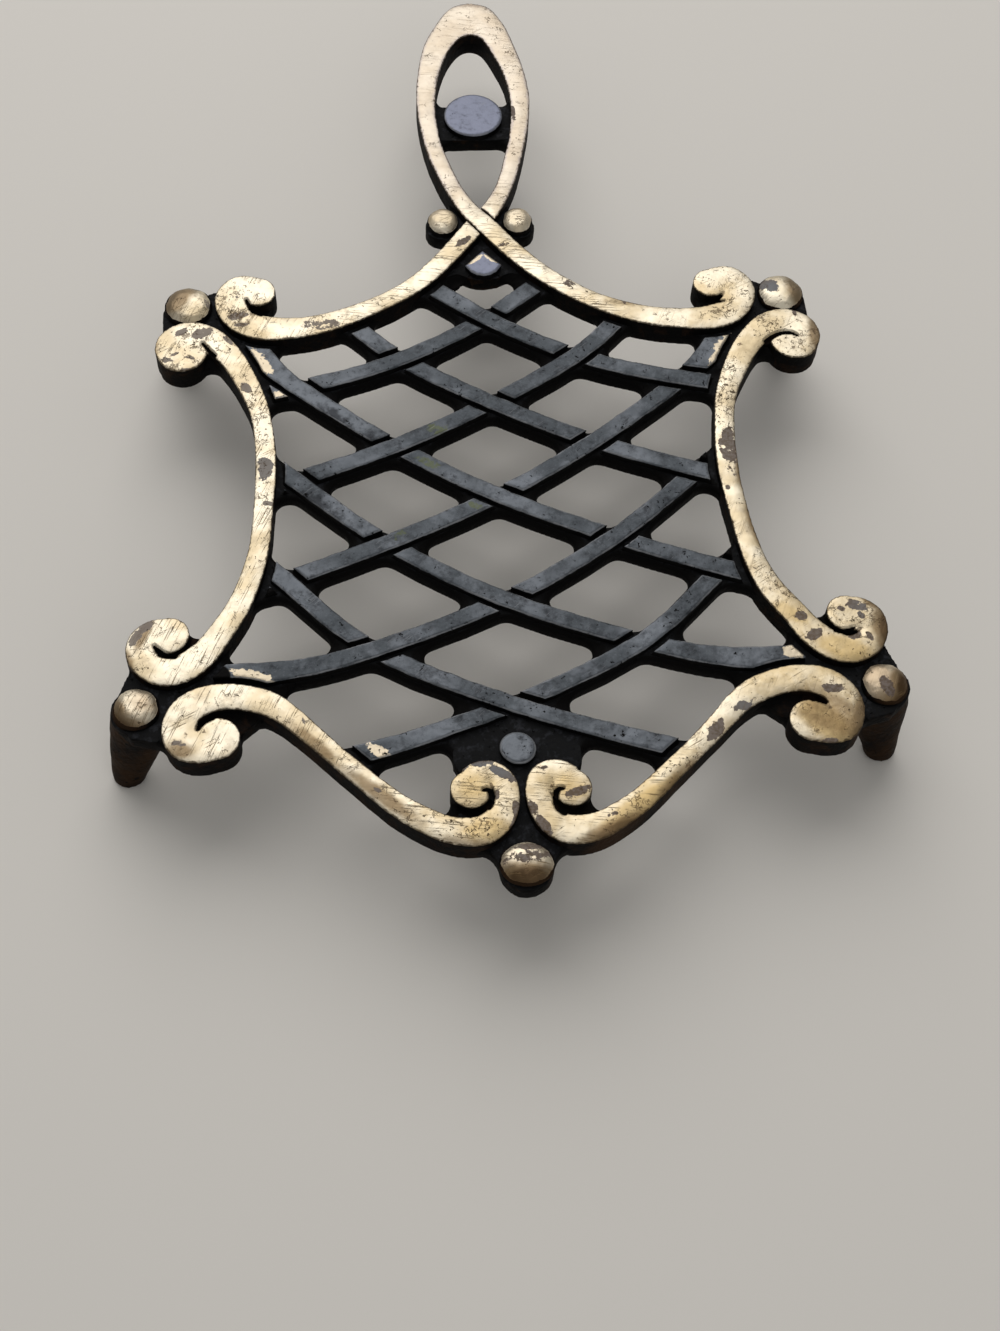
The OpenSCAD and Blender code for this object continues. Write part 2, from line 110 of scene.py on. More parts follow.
# How far places on the real casting stand off its even pattern, in mm: x, y and how far
# along each. The last rows stand where the pattern has them
cast_off = [
    (-67, 22, -0.2, 1.3), (-54, 31, 0.2, 0.7), (-61, 23, 0.3, 0.6), (-74, 11, -0.3, -0.6),
    (-68, 4, -0.2, 0.3), (-63, 9, 0.4, 0.6), (-67, 18, 0.2, 0.6), (48, 27, 0.7, 0.6),
    (61, 22, 0.8, 0.6), (51, 12, 0.5, 1.1), (67, 22, 1, 1.7), (74, 10, 1.9, -0.3),
    (63, 9, 0.9, 0), (70, 4, 1.4, 0.1), (67, 18, 1.3, 1.2), (77, -67, 1.6, -0.5),
    (65, -62, 1.2, 0.2), (68, -75, 1.1, 0.6), (71, -59, 1.5, -0.1), (70, -85, 1.5, -0.5),
    (54, -87, 1.4, 0.4), (61, -93, 0.9, -0.3), (61, -75, 0.6, 0.3), (75, -80, 1.1, 0),
    (-77, -66, -0.7, -0.7), (-65, -63, 0.7, -0.5), (-69, -75, -0.2, 0.1), (-69, -85, -0.7, 0),
    (-62, -93, 0.3, 0.4), (-54, -87, 0.1, 0.9), (-59, -75, -0.3, 0.1), (-75, -80, 0.4, -0.3),
    (-7, -95, 0.4, 1.4), (-13, -100, 0, 1.1), (-10, -105, 0.3, 0.2), (-1, -103, 1, 0),
    (-9, -113, 0.8, 0.2), (7, -95, 0.6, 0.7), (14, -101, 0.6, 0.4), (1, -102, 0.8, -0.2),
    (9, -113, 1.1, -0.4), (0, -116, 0.4, 0), (1, 120, 1.4, 0), (-14, 91, 0.7, 0),
    (14, 90, 0.4, 0), (1, 51, 0.5, 0), (0, 81, 0.2, 1), (-9, 46, 0.1, 0.8), (9, 46, 0.1, 0.6),
    (0, 33, 0.2, 0.9), (-49, -5, 0.7, 0), (-50, -20, 0.7, 0), (-50, -45, 0.8, 0),
    (51, -13, 0.4, 0), (50, -33, 0.4, 0), (50, -46, 0.6, 0), (-43, -83, -0.2, 0.7),
    (-16, -109, 0.2, 0), (37, -91, 0.3, -0.9), (28, -101, 0.1, -0.7), (48, -81, 0.2, -0.2),
    (13, 32, 0.5, 0.6), (42, 16, 0.1, 0.9), (0, -91, 0.2, 0.7)]
cast_true = [
    (-26, -98), (34, 19), (-32, 17), (-17, 27), (-2, 13), (16, 8), (-20, 7), (-0, -6),
    (21, -17), (-23, -16), (-1, -30), (23, -42), (44, -25), (44, -4), (-40, -1), (-43, -26),
    (-25, -41), (-1, -57), (27, -68), (-46, -53), (-28, -67), (0, -82), (45, -53), (-23, -89),
    (17, -86), (-36, -77)]
cast_reach, cast_steady = 7 * mm, 0.15
cast_places = np.array([row[:2] for row in cast_off] + cast_true) * mm
cast_shifts = np.array([row[2:] for row in cast_off] + [(0, 0)] * len(cast_true)) * mm


def as_cast(piece):
    """Shifts a piece in plan to where the real, uneven casting has it."""
    places = vertex_places(piece.data)
    away = np.linalg.norm(places[:, None, :2] - cast_places, axis=2)
    weight = np.exp(-0.5 * (away / cast_reach) ** 2)
    places[:, :2] += weight @ cast_shifts / (weight.sum(axis=1, keepdims=True) + cast_steady)
    piece.data.vertices.foreach_set("co", places.ravel())
    piece.data.update()


outline_step, same_level, crown_side = 0.2 * mm, 0.02 * mm, 2 * mm


def top_outline(mesh, level, seam=()):
    """Points close together along the outline of the faces that lie level at that height,
    but not along the edges between the seam's vertices."""
    seen = {}
    for face in mesh.polygons:
        if face.normal.z > 0.99 and abs(face.center.z - level) < same_level:
            for key in face.edge_keys:
                seen[key] = seen.get(key, 0) + 1
    points = []
    for (a, b), times in seen.items():
        if times == 1 and not (a in seam and b in seam):
            start, end = mesh.vertices[a].co, mesh.vertices[b].co
            steps = max(1, math.ceil((end - start).length / outline_step))
            points += [start.lerp(end, k / steps) for k in range(steps)]
    return points


def note(mesh, name, values):
    """Keeps one number for each vertex, for the materials to read."""
    mesh.attributes.new(name, "FLOAT", "POINT").data.foreach_set(
        "value", np.asarray(values, np.float32))


def crown(piece, outline, level, drop, reach):
    """Lowers the top towards its outline, and notes how far in from it each place is."""
    tree = kdtree.KDTree(len(outline))
    for k, point in enumerate(outline):
        tree.insert((point.x, point.y, 0), k)
    tree.balance()
    places = vertex_places(piece.data)
    inset = np.zeros(len(places))
    for i in np.nonzero(places[:, 2] > level - 1.2 * mm)[0]:
        inset[i] = tree.find((places[i, 0], places[i, 1], 0))[2]
    fade = np.clip((places[:, 2] - level) / crown_side + 1, 0, 1)
    places[:, 2] -= drop * (1 - np.clip(inset / reach, 0, 1)) ** 2 * fade
    piece.data.vertices.foreach_set("co", places.ravel())
    piece.data.update()
    note(piece.data, "inset", inset / mm)


def carve(piece, strokes, level, depth, wall):
    """Sinks narrow strokes into the top. A stroke is the places along it, each with the
    stroke's half width there, all in mm."""
    places = vertex_places(piece.data)
    top = np.nonzero(places[:, 2] > level - depth)[0]
    near = places[top, :2] / mm
    sink = np.zeros(len(top))
    for stroke in strokes:
        for (x, y, half), (next_x, next_y, next_half) in zip(stroke, stroke[1:]):
            along = np.array((next_x - x, next_y - y))
            share = np.clip((near - (x, y)) @ along / (along @ along), 0, 1)
            away = np.hypot(*(near - (x, y) - share[:, None] * along).T)
            half_here = half + share * (next_half - half)
            sink = np.maximum(sink, np.clip((half_here - away) / wall + 0.5, 0, 1))
    places[top, 2] = np.where(sink > 0, np.minimum(places[top, 2], level - depth * sink),
                              places[top, 2])
    piece.data.vertices.foreach_set("co", places.ravel())
    piece.data.update()


def spot_depth(places, spots):
    """How deep inside one of the given oval spots each place lies: each spot is its
    middle, half length, half width, turn in degrees and strength, in mm."""
    depth = np.zeros(len(places))
    for x, y, long, wide, turn, strength in spots:
        c, s = math.cos(math.radians(turn)), math.sin(math.radians(turn))
        dx, dy = places[:, 0] / mm - x, places[:, 1] / mm - y
        away = np.hypot((dx * c + dy * s) / long, (dy * c - dx * s) / wide)
        depth = np.maximum(depth, strength * np.clip(1.5 - away, 0, 1))
    return depth


def spotted(piece, name, spots):
    note(piece.data, name, spot_depth(vertex_places(piece.data), spots))


# The thin inner ends of the grooves between each scroll's head and its strap
rim_grooves = [
    [(-54.0, 25.1, 0.25), (-53.5, 23.8, 0.32), (-53.1, 22.6, 0.43), (-52.2, 21.6, 0.54),
     (-50.6, 20.9, 0.61)],
    [(-63.6, 12.8, 0.24), (-62.8, 11.7, 0.32), (-61.9, 10.4, 0.40), (-61.0, 9.2, 0.50)],
    [(54.6, 21.9, 0.25), (52.9, 21.7, 0.42), (51.1, 21.5, 0.63), (49.4, 21.3, 0.83)],
    [(70.1, 11.3, 0.31), (69.0, 12.0, 0.44), (67.6, 12.2, 0.51), (66.0, 11.9, 0.54),
     (64.3, 11.0, 0.59), (63.0, 9.8, 0.67)],
    [(-71.8, -65.2, 0.22), (-71.1, -66.1, 0.43), (-70.1, -67.1, 0.56), (-68.9, -67.6, 0.54),
     (-67.5, -67.7, 0.52)],
    [(-62.6, -84.6, 0.31), (-62.1, -83.6, 0.50), (-61.3, -82.7, 0.59), (-60.0, -82.0, 0.67)],
    [(71.4, -66.0, 0.24), (70.4, -66.6, 0.49), (69.1, -66.8, 0.54), (67.7, -66.4, 0.54)],
    [(62.5, -83.2, 0.22), (61.6, -82.6, 0.43), (60.5, -82.2, 0.56)],
    [(-6.9, -100.1, 0.30), (-6.2, -100.0, 0.41), (-5.5, -100.5, 0.53), (-5.4, -101.6, 0.57),
     (-5.6, -102.8, 0.57), (-6.1, -103.7, 0.61)],
    [(8.6, -100.4, 0.28), (7.9, -100.3, 0.39), (7.3, -100.9, 0.51), (7.0, -102.2, 0.49),
     (7.0, -103.5, 0.49), (7.4, -104.7, 0.49), (8.5, -105.7, 0.49)]]
groove_depth, groove_wall = 1.7 * mm, 0.30

# Marks on the rims: grey patina and where it is bluer, and where the rubbed brass is
# more pitted, browner, more golden and more cracked. The browner places are partly brown film
# and partly painted shade, where the crowned top rounds over at its outer and lower edges
rim_patina = [(-73.5, -60.4, 2.2, 1, -125, 1), (-75.6, -63.5, 2.1, 1, -116, 1),
              (-65.9, -87.7, 2, 0.8, -10, 0.75), (-56, 20.1, 2.3, 1.2, 8, 1),
              (-54.9, 17.7, 2.1, 0.6, 1, 0.9), (-56.4, 25.6, 1.3, 0.6, -2, 0.75),
              (-63.9, 15.3, 2.8, 1.7, 15, 1), (-68.4, 15.8, 1.6, 0.9, 26, 0.8),
              (-69.5, 9.7, 1.2, 0.5, 25, 0.8), (-66.2, 8.6, 1.4, 0.7, -2, 0.75),
              (-71.5, 8.1, 1.5, 0.7, -22, 0.85), (-66.7, 5.4, 1.4, 0.5, 5, 0.8),
              (-57.6, 12.9, 1.7, 0.7, -56, 0.85), (70.2, 18.6, 3.2, 0.5, -82, 0.8),
              (60.9, -62.9, 1.5, 1.1, -15, 1), (63, -67.3, 1.8, 1.1, 31, 0.95),
              (72.7, -60.9, 2.5, 1.4, -17, 1), (73.2, -63.3, 1.2, 0.8, -55, 0.9),
              (71.4, -67.8, 1.5, 1.1, 26, 0.95), (74.2, -68.3, 1.6, 0.7, -63, 0.9),
              (69.3, -61.5, 1, 0.7, -24, 0.9), (64.7, -80, 2.2, 1.3, -6, 1),
              (62.6, -92, 1.8, 0.7, 2, 0.85), (46, -83.4, 2.1, 1.3, 21, 1),
              (39.8, -89.1, 2.7, 1.2, -130, 1), (17.6, -106.5, 1.5, 0.6, 17, 0.9),
              (-10.8, -95, 2, 1, 32, 1), (-7.4, -94.2, 2.9, 1.1, -8, 1),
              (-3.4, -96.5, 3.4, 1, -35, 1), (-0.6, -104.6, 1.8, 0.9, -82, 1),
              (-1.1, -107.8, 2.4, 1, -111, 1), (-4.4, -101.3, 1.3, 0.5, -93, 0.9),
              (2.5, -104.6, 1.8, 0.9, -66, 1), (4.1, -107.9, 2.7, 1, -62, 1),
              (11.3, -101.2, 3.1, 1, 19, 0.72), (5.1, -95.8, 0.9, 0.5, 18, 0.85),
              (-49.8, -20.1, 1.5, 1.2, -13, 1), (-49.4, -22.6, 3, 1.4, -96, 1),
              (-49, -31.1, 1.5, 0.7, -14, 0.95), (-53.7, -0.4, 1.6, 1, -48, 0.9),
              (50.9, -19.6, 6.2, 2.0, -91, 0.8), (49.3, -19.5, 2.9, 0.8, -87, 0.8),
              (49.3, -30.2, 0.6, 0.5, -55, 0.9), (10, 82.3, 2.5, 0.6, -87, 0.85),
              (-4.1, 41.1, 2.3, 0.8, 37, 1), (5.4, 39.9, 1.6, 0.6, 12, 0.9),
              (-41.9, -83.4, 2, 0.5, -71, 0.5), (-27.6, -99.5, 1, 0.5, -20, 0.8),
              (-36.3, 17.1, 5.5, 1.7, 4, 0.68), (32.5, 21.6, 2.4, 1.1, -15, 0.65),
              (19.9, 27.4, 2, 1.1, -30, 0.65)]
rim_blue = [(-6.5, -96, 5.8, 2.1, -7, 1), (46.7, -83, 2.2, 2.6, 32, 0.6),
            (73.3, -61.5, 2, 2.3, -41, 0.5), (-49.4, -22.6, 5.2, 2.8, -90, 0.5)]
rim_pitted = [(-58, 22, 9, 7, 0, 0.65), (-66, 10, 8, 7, 0, 0.55), (-50, -10, 20, 5, 100, 0.45),
              (58, 22, 10, 8, 0, 0.45), (67, 12, 8, 8, 0, 0.5), (52, -5, 12, 4, 90, 0.7),
              (70, -62, 10, 8, 0, 0.5), (60, -55, 8, 4, 120, 0.9), (74, -84, 6, 5, 0, 0.9),
              (-76, -68, 5, 4, 0, 0.7), (-12, -108, 12, 5, 0, 0.6), (30, -100, 12, 4, 30, 0.5)]
# Browner places on the rims: partly brown film, partly painted shade on the rounded outer and lower
# edges
rim_brown_and_shade = [(-65.9, -89.3, 3.2, 1.9, -13, 0.8), (-76.8, -68.7, 3.2, 1.3, -79, 0.75),
             (-73.9, 11.8, 3.7, 1, -86, 0.6), (75.4, 11.5, 6.5, 2.9, -93, 1),
             (78.6, -66.6, 6.9, 3.4, -92, 1.2), (76.2, -59.9, 2.7, 1.8, -48, 1),
             (69.6, -87.2, 7.4, 2.6, 69, 1), (-74, -62.6, 4.4, 1.3, -109, 1),
             (64, -86, 10, 6, -30, 0.75), (59.5, -92, 5.6, 1.3, -7, 0.55),
             (18.5, -109.6, 8, 2.2, 22, 1.1),
             (31.2, -99.7, 8, 1.7, 47, 0.75), (52.9, -24.5, 7, 1.6, -93, 0.95),
             (54.5, -40.9, 7.7, 1.7, -78, 0.95), (-39.6, -88.8, 7.4, 1.5, -46, 0.8),
             (-26.7, -100.8, 9.8, 1.7, -40, 0.85), (-10.2, -111.2, 6.2, 1, -10, 0.65),
             (31.4, 21.8, 4.9, 1.3, -9, 0.6),
             (17.3, 29.6, 2, 0.7, -22, 0.5), (2.5, 120.6, 7.5, 1.7, -4, 0.9),
             (-65.5, 5, 1.9, 0.7, 19, 0.5)]
rim_gold = [(64, -74, 24, 22, 0, 0.5), (22, -101, 24, 12, 24, 0.5), (60, 14, 20, 20, 0, 0.3),
            (-8, -101, 14, 12, 0, 0.45), (68.7, -70.9, 6.9, 3.5, -22, 0.9),
            (62.1, -87.5, 8.2, 3.9, -47, 1), (70, -66, 11, 10, 0, 0.5),
            (58.5, -62.2, 5.9, 2.2, -40, 0.7),
            (25.4, -103.8, 13.3, 2.9, 30, 1), (-6.2, -108.9, 7.2, 3.2, -2, 0.8),
            (-8, -99.2, 5.9, 3.3, 12, 0.7), (9.4, -99.9, 6.2, 3.7, -16, 0.75),
            (53.8, 23.2, 8.7, 5.8, -48, 0.4), (50.8, -56.3, 10.7, 3.2, -55, 0.3),
            (-48.6, 14.4, 5.6, 2, -19, 0.35)]
rim_cracked = [(-62, 19, 14, 12, 0, 1.0), (69, 13, 13, 12, 0, 0.8), (54, -53, 9, 4, -55, 0.9),
               (71, -66, 8, 7, 0, 0.6), (-49, -10, 14, 4, 90, 0.5), (-40, 17, 10, 4, 0, 0.5),
               (-33.7, -91.8, 2.6, 2.1, -35, 1.0)]


def put(tree, kind, options=None, sockets=None):
    """A shader node with its options set and its sockets filled or linked."""
    made = tree.nodes.new("ShaderNode" + kind)
    for key, value in (options or {}).items():
        setattr(made, key, value)
    for key, value in (sockets or {}).items():
        if isinstance(value, bpy.types.NodeSocket):
            tree.links.new(value, made.inputs[key])
        else:
            made.inputs[key].default_value = value
    return made


def calc(tree, work, a, b=0.0, c=0.0):
    return put(tree, "Math", {"operation": work}, {0: a, 1: b, 2: c}).outputs[0]


def rise(tree, value, low, high, to=1.0):
    """0 below low, to above high, and smooth between them."""
    return put(tree, "MapRange", {"interpolation_type": "SMOOTHSTEP"},
               {0: value, 1: low, 2: high, 3: 0.0, 4: to}).outputs[0]


def tint(tree, share, a, b):
    """Colour a, or b where share is 1."""
    made = put(tree, "Mix", {"data_type": "RGBA"}, {0: share})
    for place, value in ((6, a), (7, b)):
        if isinstance(value, bpy.types.NodeSocket):
            tree.links.new(value, made.inputs[place])
        else:
            made.inputs[place].default_value = (*value, 1)
    return made.outputs[2]


def noise(tree, vector, scale, detail=3.0, rough=0.55, twist=0.0):
    return put(tree, "TexNoise", None, {"Vector": vector, "Scale": scale, "Detail": detail,
                                        "Roughness": rough, "Distortion": twist}).outputs[0]


def effect(name, inputs, outputs):
    """An empty node group with its sockets, its input node and its output node."""
    tree = bpy.data.node_groups.new(name, "ShaderNodeTree")
    for label, kind, value in inputs:
        socket = tree.interface.new_socket(name=label, in_out="INPUT",
                                           socket_type="NodeSocket" + kind)
        if value is not None:
            socket.default_value = value
    for label, kind in outputs:
        tree.interface.new_socket(name=label, in_out="OUTPUT", socket_type="NodeSocket" + kind)
    return tree, tree.nodes.new("NodeGroupInput").outputs, tree.nodes.new("NodeGroupOutput").inputs


# Pits: small ragged dark holes of the casting, gathered in some places
pits, into, out = effect("pits", [("Vector", "Vector", None), ("Scale", "Float", 900.0),
                                  ("Share", "Float", 0.3)],
                         [("Mask", "Float")])
gather = noise(pits, into["Vector"], calc(pits, "MULTIPLY", into["Scale"], 0.16), 2.0)
ragged_hole = noise(pits, into["Vector"], into["Scale"], 3.0, 0.7)
depth_here = calc(pits, "MULTIPLY_ADD", gather, 0.30, ragged_hole)
limit = calc(pits, "MULTIPLY_ADD", into["Share"], -0.20, 0.90)
pits.links.new(rise(pits, calc(pits, "SUBTRACT", depth_here, limit), 0.0, 0.03), out["Mask"])

# Scratches: fine lines that run one way, broken up by a slower noise
scratches, into, out = effect("scratches", [("Vector", "Vector", None), ("Turn", "Float", 0.0),
                                            ("Share", "Float", 0.5)],
                              [("Mask", "Float")])
turned = put(scratches, "VectorRotate", {"rotation_type": "Z_AXIS"},
             {"Vector": into["Vector"], "Angle": into["Turn"]}).outputs[0]
drawn = put(scratches, "VectorMath", {"operation": "MULTIPLY"},
            {0: turned, 1: (110.0, 3400.0, 110.0)}).outputs[0]
line = rise(scratches, noise(scratches, drawn, 1.0, 3.0, 0.7), 0.57, 0.66)
where = rise(scratches, calc(scratches, "MULTIPLY_ADD", into["Share"], 0.5,
                             noise(scratches, into["Vector"], 210.0, 2.0)), 0.58, 0.80)
scratches.links.new(calc(scratches, "MULTIPLY", line, where), out["Mask"])

# Crackle: short fine cracks that hold dirt, broken up by a slower noise
crackle, into, out = effect("crackle", [("Vector", "Vector", None), ("Scale", "Float", 560.0),
                                        ("Share", "Float", 0.5)],
                            [("Mask", "Float")])
wander = put(crackle, "TexNoise", None, {"Vector": into["Vector"], "Scale": 900.0,
                                         "Detail": 3.0}).outputs[1]
shifted = put(crackle, "VectorMath", {"operation": "MULTIPLY_ADD"},
              {0: wander, 1: (0.0022, 0.0022, 0.0022), 2: into["Vector"]}).outputs[0]
cells = put(crackle, "TexVoronoi", {"feature": "DISTANCE_TO_EDGE"},
            {"Vector": shifted, "Scale": into["Scale"]}).outputs[0]
crack = calc(crackle, "SUBTRACT", 1.0, rise(crackle, cells, 0.02, 0.08))
where = rise(crackle, calc(crackle, "MULTIPLY_ADD", into["Share"], 0.30,
                           noise(crackle, into["Vector"], 420.0, 4.0, 0.7)), 0.60, 0.70)
crackle.links.new(calc(crackle, "MULTIPLY", crack, where), out["Mask"])

# Grain: the fine roughness that the sand leaves, as a height
grain, into, out = effect("grain", [("Vector", "Vector", None), ("Scale", "Float", 1500.0)],
                          [("Height", "Float")])
coarse = noise(grain, into["Vector"], calc(grain, "MULTIPLY", into["Scale"], 0.25), 2.0)
fine = noise(grain, into["Vector"], into["Scale"], 3.0, 0.6)
grain.links.new(calc(grain, "MULTIPLY_ADD", coarse, 1.6, fine), out["Height"])


def use(tree, shared, sockets):
    """Places a shared effect in a material."""
    made = put(tree, "Group", {"node_tree": shared}, sockets)
    return made.outputs[0]


def start_material(name, shine):
    """A new material: its node tree, its shader, and its place as a whole and split."""
    material = bpy.data.materials.new(name)
    material.use_nodes = True
    tree = material.node_tree
    shader = tree.nodes["Principled BSDF"]
    shader.inputs["Specular IOR Level"].default_value = shine
    place = put(tree, "TexCoord").outputs["Object"]
    return material, tree, shader, place, put(tree, "SeparateXYZ", None, {0: place}).outputs


def noted(tree, name):
    return put(tree, "Attribute", {"attribute_name": name}).outputs["Fac"]


def end_material(tree, shader, colour, rough, metal, relief, depth):
    tree.links.new(colour, shader.inputs["Base Color"])
    tree.links.new(rough, shader.inputs["Roughness"])
    tree.links.new(metal, shader.inputs["Metallic"])
    bump = put(tree, "Bump", None, {"Strength": 1.0, "Distance": depth, "Height": relief})
    tree.links.new(bump.outputs[0], shader.inputs["Normal"])


paint_black, paint_brown = (0.0045, 0.0042, 0.0042), (0.022, 0.012, 0.007)
foot_brown = (0.036, 0.019, 0.009)
# The brass brown serves brown film and scratches and also painted shade on rounded edges; the dark
# brass is painted shade
brass_pale, brass_deep, brass_brown_and_shade = (0.83, 0.76, 0.61), (0.63, 0.53, 0.36), (0.21, 0.142, 0.070)
brass_gold, brass_painted_shade = (0.54, 0.395, 0.175), (0.085, 0.047, 0.022)
brass_worn = (0.53, 0.465, 0.405)
patina_light, patina_pale = (0.27, 0.235, 0.21), (0.40, 0.36, 0.36)
brass_smudge, crack_brown = (0.44, 0.37, 0.27), (0.13, 0.085, 0.05)
patina_grey, patina_brown, pit_dark = (0.19, 0.16, 0.15), (0.13, 0.098, 0.082), (0.08, 0.055, 0.032)
patina_blue = (0.165, 0.175, 0.20)
# Where along the casting the looks change, and which way the scratches run, in degrees
loop_from, loop_to = 40 * mm, 62 * mm
middle_scrolls_end, outer_scrolls_start = 25 * mm, 40 * mm
steep_turn, level_turn, stray_turn = -66, 8, -30


def brass_material(name, level, bare_depth, pale, deep, scratched, pitted):
    """Brass rubbed bright down to bare_depth below the level of its top, black below."""
    material, tree, shader, place, split = start_material(name, 0.04)
    inset = noted(tree, "inset")
    ragged = noise(tree, place, 900.0, 4.0, 0.65)
    broad = noise(tree, place, 110.0, 3.0)
    blotch = noise(tree, place, 330.0, 5.0, 0.62, 0.4)
    speck = noise(tree, place, 1500.0, 3.0, 0.6)
    # Bare brass, its paler and deeper tones, and brown towards the outer ends: partly brown film,
    # partly painted shade on the rounded outer and lower edges
    colour = tint(tree, rise(tree, broad, 0.38, 0.62), pale, deep)
    smudge = noise(tree, place, 240.0, 6.0, 0.7, 0.6)
    colour = tint(tree, rise(tree, smudge, 0.50, 0.72, 0.55), colour, brass_smudge)
    golden = calc(tree, "MULTIPLY_ADD", smudge, 0.6, noted(tree, "golden"))
    colour = tint(tree, rise(tree, golden, 0.40, 1.25, 0.85), colour, brass_gold)
    brown = calc(tree, "MULTIPLY_ADD", blotch, 0.7, noted(tree, "brown"))
    brown = rise(tree, brown, 0.55, 1.25)
    colour = tint(tree, calc(tree, "MULTIPLY", brown, 0.85), colour, brass_brown_and_shade)
    # Painted shade: the darkest brown on the rounded outer edges, where the brown mark is strongest
    colour = tint(tree, rise(tree, noted(tree, "brown"), 0.85, 1.3, 0.85), colour, brass_painted_shade)
    # The loop, handled most, is smoother and paler, and greyer along its edges
    loop = rise(tree, split[1], loop_from, loop_to)
    pale_loop = calc(tree, "MULTIPLY", loop, 0.6)
    colour = tint(tree, pale_loop, colour, brass_worn)
    worn_edge = calc(tree, "MULTIPLY_ADD", smudge, 1.6, calc(tree, "MULTIPLY", inset, -1.0))
    worn_edge = rise(tree, worn_edge, -0.15, 0.55)
    colour = tint(tree, calc(tree, "MULTIPLY", worn_edge, pale_loop), colour, patina_pale)
    # Patina patches, with sharp ragged edges
    patch = calc(tree, "MULTIPLY_ADD", noted(tree, "patina"), 0.40, smudge)
    patch = calc(tree, "MULTIPLY_ADD", speck, 0.22, patch)
    patch = rise(tree, patch, 0.82, 0.84)
    tone = tint(tree, rise(tree, speck, 0.4, 0.6), patina_grey, patina_brown)
    tone = tint(tree, rise(tree, split[0], -10 * mm, -40 * mm), tone, patina_light)
    tone = tint(tree, noted(tree, "blue"), tone, patina_blue)
    colour = tint(tree, calc(tree, "MULTIPLY", patch, 0.9), colour, tone)
    # Scratches run steeply across the outer scrolls and nearly level across the middle ones
    outer = rise(tree, calc(tree, "ABSOLUTE", split[0]), middle_scrolls_end, outer_scrolls_start)
    steep = use(tree, scratches, {"Vector": place, "Turn": math.radians(steep_turn),
                                  "Share": scratched})
    level_lines = use(tree, scratches, {"Vector": place, "Turn": math.radians(level_turn),
                                        "Share": scratched + 0.08})
    stray = use(tree, scratches, {"Vector": place, "Turn": math.radians(stray_turn),
                                  "Share": 0.20})
    fewer = calc(tree, "SUBTRACT", 1.0, rise(tree, split[0], 0.0, 20 * mm, 0.65))
    steep = calc(tree, "MULTIPLY", steep, calc(tree, "MULTIPLY", outer, fewer))
    level_lines = calc(tree, "MULTIPLY", level_lines, calc(tree, "SUBTRACT", 1.0, outer))
    lines = calc(tree, "MAXIMUM", calc(tree, "MAXIMUM", steep, level_lines), stray)
    lines = calc(tree, "MULTIPLY", lines, calc(tree, "MULTIPLY_ADD", loop, -0.65, 1.0))
    colour = tint(tree, calc(tree, "MULTIPLY", lines, 0.75), colour, brass_brown_and_shade)
    here = calc(tree, "MULTIPLY_ADD", noted(tree, "pitted"), 0.7, pitted)
    cracks = use(tree, crackle, {"Vector": place, "Scale": 680.0,
                                 "Share": calc(tree, "MULTIPLY_ADD", here, 0.65, -0.08)})
    long_cracks = use(tree, crackle, {"Vector": place, "Scale": 330.0,
                                      "Share": calc(tree, "MULTIPLY_ADD",
                                                    noted(tree, "cracked"), 0.95, -0.6)})
    cracks = calc(tree, "MAXIMUM", cracks, long_cracks)
    colour = tint(tree, calc(tree, "MULTIPLY", cracks, 0.7), colour, crack_brown)
    holes = use(tree, pits, {"Vector": place, "Scale": 1000.0,
                             "Share": calc(tree, "MULTIPLY", here, 0.85)})
    colour = tint(tree, calc(tree, "MULTIPLY", holes, 0.9), colour, pit_dark)
    # Paint left along the outline and down the sides
    outline = calc(tree, "MULTIPLY_ADD", ragged, -1.5, inset)
    outline = calc(tree, "SUBTRACT", 1.0, rise(tree, outline, -0.70, -0.35))
    colour = tint(tree, calc(tree, "MULTIPLY", outline, 0.85), colour, pit_dark)
    sunk = calc(tree, "MULTIPLY_ADD", calc(tree, "SUBTRACT", ragged, 0.5), 0.5 * mm,
                calc(tree, "SUBTRACT", level, split[2]))
    side = rise(tree, sunk, bare_depth, bare_depth + 0.12 * mm)
    paint = tint(tree, rise(tree, blotch, 0.45, 0.75), paint_black, paint_brown)
    thin = calc(tree, "MULTIPLY_ADD", broad, 1.6, noted(tree, "brown"))
    paint = tint(tree, rise(tree, thin, 1.15, 2.0, 0.8), paint, foot_brown)
    colour = tint(tree, side, colour, paint)
    bare = calc(tree, "SUBTRACT", 1.0, side)
    rough = calc(tree, "MULTIPLY_ADD", blotch, 0.24, 0.32)
    rough = calc(tree, "MULTIPLY_ADD", calc(tree, "MAXIMUM", patch, side), 0.22, rough)
    metal = calc(tree, "MULTIPLY", bare, calc(tree, "MULTIPLY_ADD", patch, -0.6, 1.0))
    relief = use(tree, grain, {"Vector": place, "Scale": 1300.0})
    relief = calc(tree, "MULTIPLY", relief, calc(tree, "MULTIPLY_ADD", side, 0.7, 0.22))
    relief = calc(tree, "SUBTRACT", relief, calc(tree, "MULTIPLY", holes, 1.2))
    relief = calc(tree, "SUBTRACT", relief, calc(tree, "MULTIPLY", lines, 0.35))
    relief = calc(tree, "SUBTRACT", relief, calc(tree, "MULTIPLY", cracks, 0.5))
    end_material(tree, shader, colour, rough, metal, relief, 0.12 * mm)
    return material


